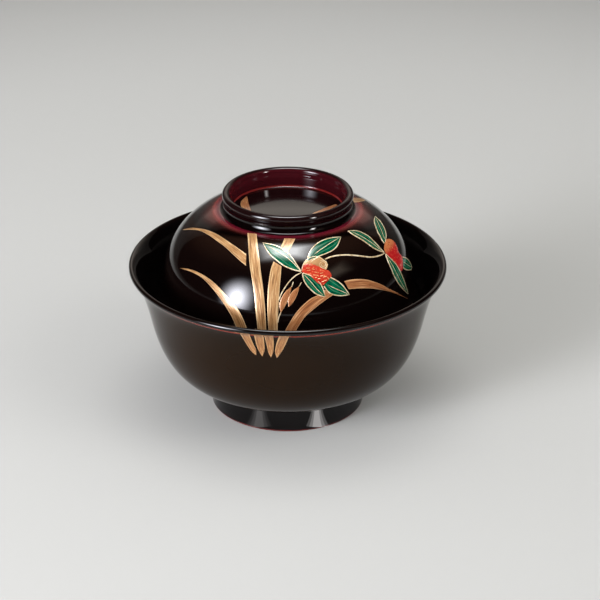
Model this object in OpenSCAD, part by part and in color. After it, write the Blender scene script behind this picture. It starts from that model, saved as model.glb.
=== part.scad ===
// Lacquered soup bowl with a lid.
// The bowl and the lid are each one turned piece of wood under coats of lacquer, with a
// painting of grass blades and orchids in low relief on the front.
// Origin: centre of the foot's underside. +Z is up and the painting faces -Y.

/* [Bowl] */
// Diameter of the bowl over its lip
rim_d = 130; // [105:1:160]
// Height of the bowl from the table to the top of its lip
bowl_h = 62.7; // [54:0.1:76]
// Thickness of the rounded lip
lip_w = 2.2; // [1.6:0.1:3]
// Thickness of the wall at the belly
wall = 3.2; // [2.4:0.1:4.5]
// Thickness of the floor between the inside and the hollow of the foot
floor_t = 5.4; // [3:0.1:8]
// Rise of the wall, in degrees, where it reaches the lip
lip_flare = 26; // [18:1:40]

/* [Foot] */
// Diameter of the foot where it stands
foot_d = 63.3; // [50:0.1:76]
// How far the foot draws in where it joins the bowl
foot_taper = 0.75; // [0:0.05:2]
// Height of the foot
foot_h = 10.8; // [9:0.1:14]
// Thickness of the foot ring where it stands
foot_ring_w = 3.3; // [2.6:0.1:5]
// Depth of the hollow inside the foot
foot_well_h = 7.6; // [5:0.1:9]
// Radius of the foot's rounded edges
foot_edge_r = 0.6; // [0.5:0.05:0.9]

/* [Lid] */
// Depth of the lid's edge below the top of the bowl's lip
seat_depth = 16.7; // [13:0.1:20]
// Clearance between the lid's edge and the bowl's wall
seat_gap = 0.35; // [0.3:0.05:0.8]
// Height of the dome from the lid's edge to the ring
dome_h = 40.2; // [33:0.1:48]
// Thickness of the dome at its shoulder
lid_wall = 3; // [2.4:0.1:4]
// Thickness of the lid's rounded edge
edge_w = 2.4; // [1.8:0.1:3]
// Thickness of the lid's roof under the ring
roof_t = 3; // [2.2:0.1:4]

/* [Ring] */
// Diameter of the ring's bore
ring_bore_d = 46; // [40:0.1:56]
// Thickness of the ring from its bore to the outside of its lip
ring_wall = 3.6; // [3.3:0.1:5]
// How far the ring's neck spreads past its lip where it leaves the dome
ring_spread = 0.9; // [0.4:0.1:2]
// Height of the ring above the dome
ring_h = 7.4; // [6:0.1:10]
// Thickness of the ring's rounded lip
ring_lip_w = 3.2; // [2.6:0.1:3.3]
// Depth of the ring's well from the top of its lip
well_h = 8; // [6.4:0.1:10]
// Rise of the well's floor at its middle
well_rise = 1.1; // [0.4:0.1:1.6]
// Radius of the corner between the well's floor and its wall
well_corner_r = 0.8; // [0.4:0.1:1.2]

/* [Lacquer] */
// Thickness of a coat of lacquer with its ground layers
coat_t = 0.4; // [0.3:0.05:0.45]
// Height of the gold blades over the lacquer
gold_t = 0.25; // [0.15:0.05:0.4]
// Height of the coloured petals over the lacquer
petal_t = 0.3; // [0.15:0.05:0.4]
// Height of the lips, ribs and stems over the lacquer
line_t = 0.4; // [0.2:0.05:0.5]
// Depth to which the painting is bedded in the lacquer
bed_t = 0.1; // [0.05:0.05:0.2]

/* [Painting] */
// Greatest width of a grass blade
blade_w = 4; // [3:0.1:5]
// Greatest width of a petal
petal_w = 4.8; // [3:0.1:6]
// Width of the rib along a petal
rib_w = 0.5; // [0.3:0.1:0.9]
// Width of an orchid's stem
stem_w = 0.8; // [0.5:0.1:1.2]
// Greatest width of a closed bud
bud_w = 2.8; // [2:0.1:4]
// Greatest width of an orchid's red lip
orchid_lip_w = 6.4; // [4:0.1:8]
// Width of the cap over the front orchid's lip
cap_w = 5.8; // [4:0.1:7]

/* [Hidden] */
$fn = 96;

// Outline helpers. An outline is a list of [radius, height] points.
function heading(a) = [cos(a), sin(a)];
function beside(a) = [sin(a), -cos(a)];
function rest(v) = [for (i = [1:len(v) - 1]) v[i]];
function cubic(c, u) = pow(1 - u, 3) * c[0] + 3 * pow(1 - u, 2) * u * c[1]
    + 3 * (1 - u) * u * u * c[2] + pow(u, 3) * c[3];
function curve(c, n) = [for (i = [0:n]) cubic(c, i / n)];
function arc(middle, r, from, to, n) =
    [for (i = [0:n]) middle + r * heading(from + (to - from) * i / n)];

// The side of the wood is to the right of an outline as it runs
function right_of(p, q) = [q[1] - p[1], p[0] - q[0]] / norm(q - p);
function mitre(p, q, s, t) = let (n = right_of(p, q), m = n + right_of(q, s)) q + m * t / (m * n);
function inset(v, t) = let (z = len(v) - 1) [for (i = [0:z])
    i == 0 ? [0, v[0][1] - t] : i == z ? [0, v[z][1] + t] : mitre(v[i - 1], v[i], v[i + 1], t)];

// Bowl: its belly, its lip and the curves between them
belly_share = [0.871, 0.638];
belly_lean = 12.3;
under_slope = 10.7;
lip_r = lip_w / 2;
lip_mid = [rim_d / 2 - lip_r, bowl_h - lip_r];
lip_out = lip_mid + lip_r * beside(lip_flare);
lip_in = lip_mid - lip_r * beside(lip_flare);
belly = [belly_share[0] * rim_d / 2, belly_share[1] * bowl_h];
belly_up = heading(90 - belly_lean);
belly_in = belly - wall * heading(-belly_lean);
foot_out_r = foot_d / 2;
foot_top = [foot_out_r - foot_taper, foot_h];
floor_z = foot_well_h + floor_t;
bowl_pull_shares = [0.256, 0.282, 0.16, 0.048, 0.344, 0.175, 0.064];
bowl_floor_share = 0.778;

bowl_in_low = curve([[0, floor_z], [bowl_floor_share * belly_in[0], floor_z],
    belly_in - bowl_pull_shares[4] * bowl_h * belly_up, belly_in], 14);
bowl_in_up = curve([belly_in, belly_in + bowl_pull_shares[5] * bowl_h * belly_up,
    lip_in - bowl_pull_shares[6] * bowl_h * heading(lip_flare), lip_in], 10);
bowl_lip = concat(arc(lip_mid, lip_r, lip_flare + 90, 90, 2),
    rest(arc(lip_mid, lip_r, 90, 0, 4)), rest(arc(lip_mid, lip_r, 0, lip_flare - 90, 3)));
bowl_out_up = curve([lip_out, lip_out - bowl_pull_shares[3] * bowl_h * heading(lip_flare),
    belly + bowl_pull_shares[2] * bowl_h * belly_up, belly], 10);
bowl_out_low = curve([belly, belly - bowl_pull_shares[1] * bowl_h * belly_up,
    foot_top + bowl_pull_shares[0] * bowl_h * heading(under_slope), foot_top], 14);

// Foot: a ring with rounded edges round a shallow hollow
foot_in_r = foot_out_r - foot_ring_w;
foot_well_r = foot_in_r - foot_edge_r;
foot_out = concat([foot_top],
    arc([foot_out_r - foot_edge_r, foot_edge_r], foot_edge_r, 0, -90, 4));
foot_in = concat(arc([foot_in_r + foot_edge_r, foot_edge_r], foot_edge_r, -90, -180, 4),
    arc([foot_well_r - foot_edge_r, foot_well_h - foot_edge_r], foot_edge_r, 0, 90, 4),
    [[0, foot_well_h]]);

bowl_inside_line = concat(bowl_in_low, rest(bowl_in_up), rest(bowl_lip));
bowl_outside_line = concat(bowl_out_up, rest(bowl_out_low));
bowl_line = concat(bowl_inside_line, rest(bowl_outside_line), rest(foot_out), foot_in);
bowl_lip_i = len(bowl_inside_line) - 1;
bowl_foot_i = bowl_lip_i + len(bowl_outside_line) - 1;

// Lid: its flared edge sits just inside the bowl's wall, and its dome rises from a waist to the ring
edge_r = edge_w / 2;
edge_z = bowl_h - seat_depth;
lid_r = lookup(edge_z, [for (p = bowl_in_up) [p[1], p[0]]]) - seat_gap;
edge_mid = [lid_r - edge_r, edge_z];
edge_lean = 27;
edge_out = edge_mid + edge_r * heading(edge_lean);
edge_in = edge_mid - edge_r * heading(edge_lean);
waist_share = [0.9305, 0.31];
waist_lean = 1.5;
waist = [waist_share[0] * lid_r, edge_z + waist_share[1] * dome_h];
waist_up = heading(90 + waist_lean);
waist_in = waist - lid_wall * heading(waist_lean);
dome_pull_shares = [0.09, 0.13, 0.439, 0.135, 0.34];
dome_slope = 0.5;
dome_roof_share = 0.82;

// Ring: a neck, a rounded lip and a well whose floor is the top of the dome
ring_z = edge_z + dome_h;
bore_r = ring_bore_d / 2;
ring_r = bore_r + ring_wall;
ring_base = [ring_r + ring_spread, ring_z];
ring_lip_r = ring_lip_w / 2;
ring_lip_mid = [ring_r - ring_lip_r, ring_z + ring_h - ring_lip_r];
neck_turn = 35;
neck_pull_shares = [0.284, 0.054, 0.297];
neck_top = ring_lip_mid + ring_lip_r * heading(-neck_turn);
ring_lip_in = ring_lip_mid - [ring_lip_r, 0];
bore_bend_share = 0.16;
bore_top_share = 0.45;
well_z = ring_z + ring_h - well_h;
bore_top = [bore_r, well_z + bore_top_share * well_h];
well_flat_r = bore_r - well_corner_r;
well_bend_shares = [1 / 3, 2 / 3];
roof_z = well_z - roof_t;

well_disc = curve([[0, well_z + well_rise], [well_bend_shares[0] * well_flat_r, well_z + well_rise],
    [well_bend_shares[1] * well_flat_r, well_z + well_bend_shares[1] * well_rise],
    [well_flat_r, well_z]], 6);
well_floor = concat(well_disc,
    rest(arc([well_flat_r, well_z + well_corner_r], well_corner_r, -90, 0, 3)));
ring_bore = curve([bore_top, bore_top + [0, bore_bend_share * well_h],
    ring_lip_in - [0, bore_bend_share * well_h], ring_lip_in], 5);
ring_lip = concat(arc(ring_lip_mid, ring_lip_r, 180, 90, 4),
    rest(arc(ring_lip_mid, ring_lip_r, 90, 0, 4)),
    rest(arc(ring_lip_mid, ring_lip_r, 0, -neck_turn, 2)));
ring_neck = curve([neck_top, neck_top - neck_pull_shares[2] * ring_h * heading(90 - neck_turn),
    ring_base + ring_h * [-neck_pull_shares[0], neck_pull_shares[1]], ring_base], 7);
dome_up = curve([ring_base, ring_base + dome_pull_shares[3] * dome_h * heading(-dome_slope),
    waist + dome_pull_shares[2] * dome_h * waist_up, waist], 12);
dome_low = curve([waist, waist - dome_pull_shares[1] * dome_h * waist_up,
    edge_out + dome_pull_shares[0] * dome_h * heading(90 + edge_lean), edge_out], 6);
edge_low = concat(arc(edge_mid, edge_r, edge_lean, 0, 1), rest(arc(edge_mid, edge_r, 0, -90, 4)));
edge_up = arc(edge_mid, edge_r, -90, edge_lean - 180, 3);
dome_in_low = curve([edge_in, edge_in + dome_pull_shares[0] * dome_h * heading(90 + edge_lean),
    waist_in - dome_pull_shares[1] * dome_h * waist_up, waist_in], 6);
dome_in_up = curve([waist_in, waist_in + dome_pull_shares[4] * dome_h * waist_up,
    [dome_roof_share * waist_in[0], roof_z], [0, roof_z]], 12);

dome_line = concat(dome_up, rest(dome_low));
ring_line = concat(ring_bore, rest(ring_lip), rest(ring_neck));
dome_coat_line = concat(dome_line, rest(edge_low));
lid_line = concat(well_floor, ring_line, rest(dome_coat_line), rest(edge_up), rest(dome_in_low),
    rest(dome_in_up));
lid_well_i = len(well_floor) - 1;
lid_ring_i = lid_well_i + len(ring_line);
lid_edge_i = lid_ring_i + len(dome_coat_line) - 1;

// A track is an outline with the distance run along it, so that the painting can be
// placed by [azimuth, share of the track]. Azimuth 0 is the front, and +X is at 90.
function runs(v) = [for (i = 0, s = 0; i < len(v);
    i = i + 1, s = s + (i < len(v) ? norm(v[i] - v[i - 1]) : 0)) s];
function track(v) = let (s = runs(v), l = s[len(s) - 1])
    [[for (i = [0:len(v) - 1]) [s[i] / l, v[i][0]]], [for (i = [0:len(v) - 1]) [s[i] / l, v[i][1]]], l];
step_share = 0.01;
function track_at(k, s) = [lookup(s, k[0]), lookup(s, k[1])];
function place(k, a, s, lift) = let (p = track_at(k, s) - lift
    * right_of(track_at(k, s - step_share), track_at(k, s + step_share)))
    [p[0] * sin(a), -p[0] * cos(a), p[1]];

// A stroke follows four guides, each [azimuth, share of the track, share of its width]
function radian(r) = r * PI / 180;
function stroke_row(k, g, w, u, m) = let (
    c = cubic(g, u),
    d = cubic(g, min(u + step_share, 1)) - cubic(g, max(u - step_share, 0)),
    r = radian(lookup(c[1], k[0])),
    along = [d[0] * r, d[1] * k[2]],
    side = [along[1], -along[0]] / norm(along))
    [for (j = [0:m]) let (h = (j / m - 1 / 2) * w * c[2])
        [c[0] + h * side[0] / r, c[1] + h * side[1] / k[2]]];

// Quads of an n by m grid whose points are numbered from a first point
function quads(n, m, first) = [for (i = [0:n - 1], j = [0:m - 1]) let (a = first + i * (m + 1) + j)
    [a, a + 1, a + m + 2, a + m + 1]];
function flip(f) = [for (q = f) [q[3], q[2], q[1], q[0]]];
function wall_quads(path, drop) = [for (i = [0:len(path) - 2])
    [path[i], path[i + 1], path[i + 1] + drop, path[i] + drop]];

// One raised stroke on a track: n steps long, m steps wide, t over the lacquer
module stroke(k, g, w, t, n, m) {
    rows = [for (i = [0:n]) stroke_row(k, g, w, i / n, m)];
    top = [for (row = rows, p = row) place(k, p[0], p[1], t)];
    low = [for (row = rows, p = row) place(k, p[0], p[1], -bed_t)];
    count = len(top);
    round_trip = concat([for (j = [0:m]) j], [for (i = [1:n]) i * (m + 1) + m],
        [for (j = [m - 1:-1:0]) n * (m + 1) + j], [for (i = [n - 1:-1:0]) i * (m + 1)]);
    quad_faces = concat(quads(n, m, 0), flip(quads(n, m, count)), flip(wall_quads(round_trip, count)));
    polyhedron(concat(top, low), [for (q = quad_faces, f = [[q[0], q[1], q[2]], [q[0], q[2], q[3]]]) f]);
}

dome_track = track(dome_line);
wall_track = track(bowl_outside_line);
well_track = track(well_disc);

// Grass blades: the guides run from one end of a blade to the other
lid_blade_shares = [
    [[-83.4, 0.31, 0.08], [-66.4, 0.11, 0.4], [-41.2, 0.138, 1], [-24.6, 0.26, 1]],
    [[-60.2, 0.52, 0.06], [-50.6, 0.423, 0.3], [-28.1, 0.5, 1], [-17.6, 0.88, 0.85]],
    [[-28, 0.02, 0.85], [-15.4, 0.233, 1], [-11.4, 0.547, 1], [-10.4, 0.88, 0.85]],
    [[3.5, 0.02, 0.85], [2.5, 0.056, 0.9], [1, 0.102, 0.9], [-0.8, 0.148, 0.9]],
    [[-4.7, 0.278, 0.9], [-6.1, 0.42, 1.1], [-6, 0.6, 1.05], [-5.6, 0.88, 0.9]],
    [[-0.1, 0.88, 0.85], [4.2, 0.706, 0.95], [11.8, 0.572, 1], [20.6, 0.53, 0.9]],
    [[30.8, 0.492, 0.85], [42.4, 0.505, 1.1], [49, 0.594, 0.7], [71, 0.85, 0.06]],
    [[107, 0.02, 0.7], [110, 0.06, 0.6], [113, 0.12, 0.4], [116, 0.2, 0.08]]];
bowl_blade_shares = [
    [[-16.2, 0.01, 1.05], [-14.6, 0.06, 1.1], [-13.2, 0.13, 1], [-12, 0.185, 0.1]],
    [[-10.6, 0.01, 0.85], [-10.4, 0.06, 1], [-9.8, 0.13, 1], [-9.4, 0.19, 0.1]],
    [[-6.6, 0.01, 0.8], [-6.5, 0.06, 0.95], [-6.2, 0.13, 1], [-6, 0.195, 0.1]],
    [[-0.8, 0.01, 0.95], [-1.8, 0.06, 1], [-2.9, 0.13, 1], [-3.6, 0.2, 0.1]]];
// In the ring's well a stroke is placed by its [x, y, width] as shares of the bore's radius
well_blade_shares = [
    [[-0.55, -0.72, 0.9], [-0.62, -0.4, 1], [-0.72, 0, 0.9], [-0.74, 0.42, 0.08]],
    [[0.12, -0.9, 0.85], [0.28, -0.45, 0.95], [0.52, -0.1, 0.95], [0.86, 0.26, 0.75]]];

// Orchids: petals, their ribs, the red lips, the cap, the stems and the closed buds
petal_shares = [
    [[7, 0.33, 0.14], [3, 0.241, 1.2], [-4, 0.148, 1.25], [-15.6, 0.107, 0.06]],
    [[14.6, 0.232, 0.3], [19.1, 0.157, 1.35], [29.1, 0.12, 1.35], [40.2, 0.113, 0.06]],
    [[9.9, 0.371, 0.14], [11, 0.427, 1.05], [14.6, 0.492, 1], [18.3, 0.547, 0.06]],
    [[20.6, 0.436, 0.3], [22.1, 0.491, 1.3], [26.1, 0.52, 1.3], [31.1, 0.571, 0.06]],
    [[62.3, 0.367, 0.14], [60.3, 0.28, 1.2], [56.2, 0.156, 1.25], [51.2, 0.093, 0.06]],
    [[71.3, 0.316, 0.14], [74.5, 0.271, 1.2], [79.3, 0.204, 1.2], [87.5, 0.169, 0.06]],
    [[63, 0.405, 0.14], [64.5, 0.53, 1.2], [62, 0.62, 1.15], [73, 0.83, 0.06]],
    [[74, 0.56, 0.4], [78, 0.6, 1.2], [80, 0.64, 1.2], [91, 0.74, 0.2]]];
rib_ends_share = [0.1, 0.88];
rib_taper_shares = [1, 0.9, 0.8, 0.5];
lip_shares = [
    [[9.5, 0.344, 0.3], [12.5, 0.306, 1.2], [18.1, 0.38, 1.3], [22.1, 0.427, 0.5]],
    [[69, 0.335, 0.5], [72, 0.385, 1.25], [70.5, 0.513, 1.15], [71.5, 0.595, 0.4]]];
cap_shares = [[13, 0.25, 0.4], [15.1, 0.256, 1.3], [20.1, 0.278, 1.3], [22.6, 0.31, 0.5]];
stem_shares = [
    [[22.9, 0.264, 0.7], [34.2, 0.204, 1], [48.2, 0.39, 1], [62.9, 0.39, 0.7]],
    [[8, 0.352, 0.7], [1.5, 0.41, 1], [-2.6, 0.552, 1], [-1.4, 0.737, 0.7]]];
bud_shares = [
    [[2.8, 0.445, 0.12], [1.5, 0.492, 1.3], [-0.8, 0.584, 1.35], [-2, 0.65, 0.15]],
    [[7, 0.441, 0.1], [6, 0.472, 1.05], [4, 0.548, 1.2], [1.6, 0.598, 0.15]]];

// Guides of the rib that runs along a petal's middle
function rib_guides(g) = let (a = rib_ends_share[0], b = rib_ends_share[1])
    [for (i = [0:3]) let (c = cubic(g, a + (b - a) * i / 3)) [c[0], c[1], rib_taper_shares[i]]];
// Guides on the well's floor from shares of the bore's radius
function well_guides(g) = [for (c = g) [atan2(c[0], -c[1]), norm([c[0], c[1]]), c[2]]];

// A coat is the band between an outline and its inset, from point a to point b
module coat(line, a, b) {
    under = inset(line, coat_t);
    rotate_extrude() polygon(concat([for (i = [a:b]) line[i]], [for (i = [b:-1:a]) under[i]]));
}

module bowl_core() {
    color("burlywood") rotate_extrude() polygon(inset(bowl_line, coat_t));
}

module bowl_outer_coat() {
    color([0.2, 0.13, 0.11]) coat(bowl_line, bowl_lip_i, bowl_foot_i);
}

module bowl_inner_coat() {
    color([0.05, 0.04, 0.04]) coat(bowl_line, 0, bowl_lip_i);
}

module foot_coat() {
    color([0.07, 0.04, 0.04]) coat(bowl_line, bowl_foot_i, len(bowl_line) - 1);
}

module bowl_blades() {
    color([0.82, 0.6, 0.36]) for (g = bowl_blade_shares) stroke(wall_track, g, blade_w, gold_t, 7, 2);
}

module lid_core() {
    color("tan") rotate_extrude() polygon(inset(lid_line, coat_t));
}

module lid_outer_coat() {
    color([0.12, 0.06, 0.05]) coat(lid_line, lid_ring_i, lid_edge_i);
}

module lid_inner_coat() {
    color([0.06, 0.05, 0.05]) coat(lid_line, lid_edge_i, len(lid_line) - 1);
}

module ring_coat() {
    color([0.32, 0.06, 0.08]) coat(lid_line, lid_well_i, lid_ring_i);
}

module ring_well_coat() {
    color([0.1, 0.07, 0.07]) coat(lid_line, 0, lid_well_i);
}

module lid_blades() {
    color([0.85, 0.62, 0.38]) for (g = lid_blade_shares) stroke(dome_track, g, blade_w, gold_t, 9, 2);
}

module ring_well_blades() {
    color([0.8, 0.56, 0.34]) for (g = well_blade_shares)
        stroke(well_track, well_guides(g), blade_w, gold_t, 9, 2);
}

module orchid_petals() {
    color([0.05, 0.42, 0.32]) for (g = petal_shares) stroke(dome_track, g, petal_w, petal_t, 7, 2);
}

module petal_ribs() {
    color([0.9, 0.78, 0.5]) for (g = petal_shares) stroke(dome_track, rib_guides(g), rib_w, line_t, 5, 1);
}

module orchid_lips() {
    color([0.75, 0.22, 0.14]) for (g = lip_shares) stroke(dome_track, g, orchid_lip_w, line_t, 7, 2);
}

module orchid_cap() {
    color([0.85, 0.66, 0.4]) stroke(dome_track, cap_shares, cap_w, petal_t, 7, 2);
}

module orchid_stems() {
    color([0.88, 0.7, 0.42]) for (g = stem_shares) stroke(dome_track, g, stem_w, line_t, 10, 1);
}

module orchid_buds() {
    color([0.85, 0.5, 0.32]) for (g = bud_shares) stroke(dome_track, g, bud_w, line_t, 6, 2);
}

bowl_core();
bowl_outer_coat();
bowl_inner_coat();
foot_coat();
bowl_blades();
lid_core();
lid_outer_coat();
lid_inner_coat();
ring_coat();
ring_well_coat();
lid_blades();
ring_well_blades();
orchid_petals();
petal_ribs();
orchid_lips();
orchid_cap();
orchid_stems();
orchid_buds();
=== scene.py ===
"""Looks of a lacquered soup bowl with a lid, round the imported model. Lengths are in metres.

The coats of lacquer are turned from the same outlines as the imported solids, only finer, and
the painting lies on them in low relief.
"""
import math

import bmesh
import bpy
import numpy as np
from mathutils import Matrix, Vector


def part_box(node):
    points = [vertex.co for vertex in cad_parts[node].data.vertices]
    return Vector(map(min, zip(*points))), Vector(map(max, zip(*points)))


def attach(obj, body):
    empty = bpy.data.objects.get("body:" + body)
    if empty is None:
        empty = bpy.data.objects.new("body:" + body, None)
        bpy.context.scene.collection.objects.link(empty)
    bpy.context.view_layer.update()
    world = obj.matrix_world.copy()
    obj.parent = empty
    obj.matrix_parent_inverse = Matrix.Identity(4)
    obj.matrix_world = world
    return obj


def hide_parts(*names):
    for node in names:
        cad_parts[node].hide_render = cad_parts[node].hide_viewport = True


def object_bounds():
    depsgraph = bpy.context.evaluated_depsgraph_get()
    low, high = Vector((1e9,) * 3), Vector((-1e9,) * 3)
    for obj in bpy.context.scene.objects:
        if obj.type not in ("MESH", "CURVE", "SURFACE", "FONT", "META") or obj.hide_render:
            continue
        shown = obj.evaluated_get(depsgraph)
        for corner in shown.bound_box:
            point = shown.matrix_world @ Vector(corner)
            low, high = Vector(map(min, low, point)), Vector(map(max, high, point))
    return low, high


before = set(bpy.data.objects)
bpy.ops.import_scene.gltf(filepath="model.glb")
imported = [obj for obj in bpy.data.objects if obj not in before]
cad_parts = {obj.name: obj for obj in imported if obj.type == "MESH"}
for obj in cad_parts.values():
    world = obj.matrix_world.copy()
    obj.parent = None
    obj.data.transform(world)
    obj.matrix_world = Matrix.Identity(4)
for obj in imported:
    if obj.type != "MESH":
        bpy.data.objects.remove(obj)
cad_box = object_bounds()

MM = 0.001

# Sizes of the turned pieces
RIM_R = cad_box[1].y
BOWL_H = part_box("bowl_inner_coat")[1].z
LIP_R = 1.1 * MM
LIP_FLARE = 26
WALL = 3.2 * MM
FLOOR_T = 5.4 * MM
BELLY = np.array([56.6, 40]) * MM
BELLY_LEAN = 12.3
UNDER_SLOPE = 10.7
FOOT_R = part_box("foot_coat")[1].y
FOOT_TAPER = 0.75 * MM
FOOT_H = 10.8 * MM
FOOT_RING_W = 3.3 * MM
FOOT_WELL_H = 7.6 * MM
FOOT_EDGE_R = 0.6 * MM
EDGE_R = 1.2 * MM
EDGE_Z = 46 * MM
EDGE_LEAN = 27
LID_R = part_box("lid_outer_coat")[1].y
LID_WALL = 3 * MM
WAIST_LEAN = 1.5
WAIST = np.array([50.69, 58.46]) * MM
DOME_SLOPE = 0.5
ROOF_T = 3 * MM
RING_BASE = np.array([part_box("ring_coat")[1].y, 86.2 * MM])
RING_SPREAD = 0.9 * MM
RING_WALL = 3.6 * MM
RING_TOP = cad_box[1].z
RING_LIP_R = 1.6 * MM
NECK_TURN = 35
WELL_H = 8 * MM
WELL_RISE = 1.1 * MM
WELL_CORNER_R = 0.8 * MM
COAT_T = 0.4 * MM

# The camera, fitted to the outlines in the picture, whose pixels run from the top left
PICTURE = 600
FOCAL_PX = 2269.2
SENSOR = 36
EYE = np.array([5.085, -841, 457.08]) * MM
PITCH = 0.456
ROLL = 0.004

# How finely the pieces are made
SEGMENTS = 240
WELD = 0.001 * MM
CREASE = math.radians(40)
ON_AXIS = 1e-9


# Outlines, as arrays of [radius, height]. A handle of a curve reaches a share of its piece's height
def heading(angle):
    """A step of one at an angle above level, in degrees."""
    return np.array([math.cos(math.radians(angle)), math.sin(math.radians(angle))])


def beside(angle):
    """A step of one to the right of that heading."""
    return np.array([math.sin(math.radians(angle)), -math.cos(math.radians(angle))])


def curve(guides, count):
    """A cubic curve in count steps from its start, two handles and its end."""
    a, b, c, d = (np.array(g, float) for g in guides)
    u = np.linspace(0, 1, count + 1)[:, None]
    return (1 - u) ** 3 * a + 3 * (1 - u) ** 2 * u * b + 3 * (1 - u) * u * u * c + u ** 3 * d


def arc(middle, radius, start, end, count):
    """An arc in count steps between two angles in degrees."""
    angles = np.radians(np.linspace(start, end, count + 1))
    return np.array(middle) + radius * np.stack([np.cos(angles), np.sin(angles)], 1)


def joined(*lines):
    """One outline from several that follow on from each other."""
    return np.concatenate([lines[0]] + [line[1:] for line in lines[1:]])


def inset(line, depth):
    """The outline moved into the wood, which lies to its right."""
    step = np.diff(line, axis=0)
    right = np.stack([step[:, 1], -step[:, 0]], 1) / np.linalg.norm(step, axis=1)[:, None]
    both = right[:-1] + right[1:]
    mitre = both / (both * right[:-1]).sum(1)[:, None]
    moved = line.copy()
    moved[1:-1] += depth * mitre
    moved[0] += depth * np.array([0, np.sign(right[0][1])])
    moved[-1] += depth * np.array([0, np.sign(right[-1][1])])
    return moved


# The bowl's outline runs from the middle of its inside over the lip to the foot's hollow
belly_up = heading(90 - BELLY_LEAN)
belly_in = BELLY - WALL * heading(-BELLY_LEAN)
lip_mid = np.array([RIM_R - LIP_R, BOWL_H - LIP_R])
lip_out = lip_mid + LIP_R * beside(LIP_FLARE)
lip_in = lip_mid - LIP_R * beside(LIP_FLARE)
foot_top = np.array([FOOT_R - FOOT_TAPER, FOOT_H])
floor_z = FOOT_WELL_H + FLOOR_T
foot_in_r = FOOT_R - FOOT_RING_W

bowl_in_up = curve([belly_in, belly_in + 0.175 * BOWL_H * belly_up,
                    lip_in - 0.064 * BOWL_H * heading(LIP_FLARE), lip_in], 24)
bowl_inside = joined(
    curve([[0, floor_z], [0.778 * belly_in[0], floor_z],
           belly_in - 0.344 * BOWL_H * belly_up, belly_in], 36),
    bowl_in_up,
    arc(lip_mid, LIP_R, LIP_FLARE + 90, LIP_FLARE - 90, 28))
bowl_outside = joined(
    curve([lip_out, lip_out - 0.048 * BOWL_H * heading(LIP_FLARE),
           BELLY + 0.16 * BOWL_H * belly_up, BELLY], 24),
    curve([BELLY, BELLY - 0.282 * BOWL_H * belly_up,
           foot_top + 0.256 * BOWL_H * heading(UNDER_SLOPE), foot_top], 36))
foot_line = np.concatenate([
    [foot_top],
    arc([FOOT_R - FOOT_EDGE_R, FOOT_EDGE_R], FOOT_EDGE_R, 0, -90, 8),
    arc([foot_in_r + FOOT_EDGE_R, FOOT_EDGE_R], FOOT_EDGE_R, -90, -180, 8),
    arc([foot_in_r - 2 * FOOT_EDGE_R, FOOT_WELL_H - FOOT_EDGE_R], FOOT_EDGE_R, 0, 90, 8),
    [[0, FOOT_WELL_H]]])
bowl_line = joined(bowl_inside, bowl_outside, foot_line)

# The lid's outline runs from the middle of the ring's well over ring and dome to its inside
dome_h = RING_BASE[1] - EDGE_Z
waist_up = heading(90 + WAIST_LEAN)
waist_in = WAIST - LID_WALL * heading(WAIST_LEAN)
edge_mid = np.array([LID_R - EDGE_R, EDGE_Z])
edge_out = edge_mid + EDGE_R * heading(EDGE_LEAN)
edge_in = edge_mid - EDGE_R * heading(EDGE_LEAN)
ring_r = RING_BASE[0] - RING_SPREAD
ring_h = RING_TOP - RING_BASE[1]
ring_lip_mid = np.array([ring_r - RING_LIP_R, RING_TOP - RING_LIP_R])
neck_top = ring_lip_mid + RING_LIP_R * heading(-NECK_TURN)
bore_r = ring_r - RING_WALL
well_z = RING_TOP - WELL_H
bore_top = np.array([bore_r, well_z + 0.45 * WELL_H])
ring_lip_in = ring_lip_mid - [RING_LIP_R, 0]

well_flat_r = bore_r - WELL_CORNER_R
well_line = joined(
    curve([[0, well_z + WELL_RISE], [well_flat_r / 3, well_z + WELL_RISE],
           [well_flat_r * 2 / 3, well_z + WELL_RISE * 2 / 3], [well_flat_r, well_z]], 20),
    arc([well_flat_r, well_z + WELL_CORNER_R], WELL_CORNER_R, -90, 0, 8))
ring_line = joined(
    np.array([well_line[-1], bore_top]),
    curve([bore_top, bore_top + [0, 0.16 * WELL_H], ring_lip_in - [0, 0.16 * WELL_H],
           ring_lip_in], 12),
    arc(ring_lip_mid, RING_LIP_R, 180, -NECK_TURN, 32),
    curve([neck_top, neck_top - 0.297 * ring_h * heading(90 - NECK_TURN),
           RING_BASE + ring_h * np.array([-0.284, 0.054]), RING_BASE], 24))
dome_line = joined(
    curve([RING_BASE, RING_BASE + 0.135 * dome_h * heading(-DOME_SLOPE),
           WAIST + 0.439 * dome_h * waist_up, WAIST], 48),
    curve([WAIST, WAIST - 0.13 * dome_h * waist_up,
           edge_out + 0.09 * dome_h * heading(90 + EDGE_LEAN), edge_out], 16))
lid_outside = joined(dome_line, arc(edge_mid, EDGE_R, EDGE_LEAN, -90, 12))
lid_inside = joined(
    arc(edge_mid, EDGE_R, -90, EDGE_LEAN - 180, 8),
    curve([edge_in, edge_in + 0.09 * dome_h * heading(90 + EDGE_LEAN),
           waist_in - 0.13 * dome_h * waist_up, waist_in], 16),
    curve([waist_in, waist_in + 0.34 * dome_h * waist_up,
           [0.82 * waist_in[0], well_z - ROOF_T], [0, well_z - ROOF_T]], 36))
lid_line = joined(well_line, ring_line, lid_outside, lid_inside)


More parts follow.
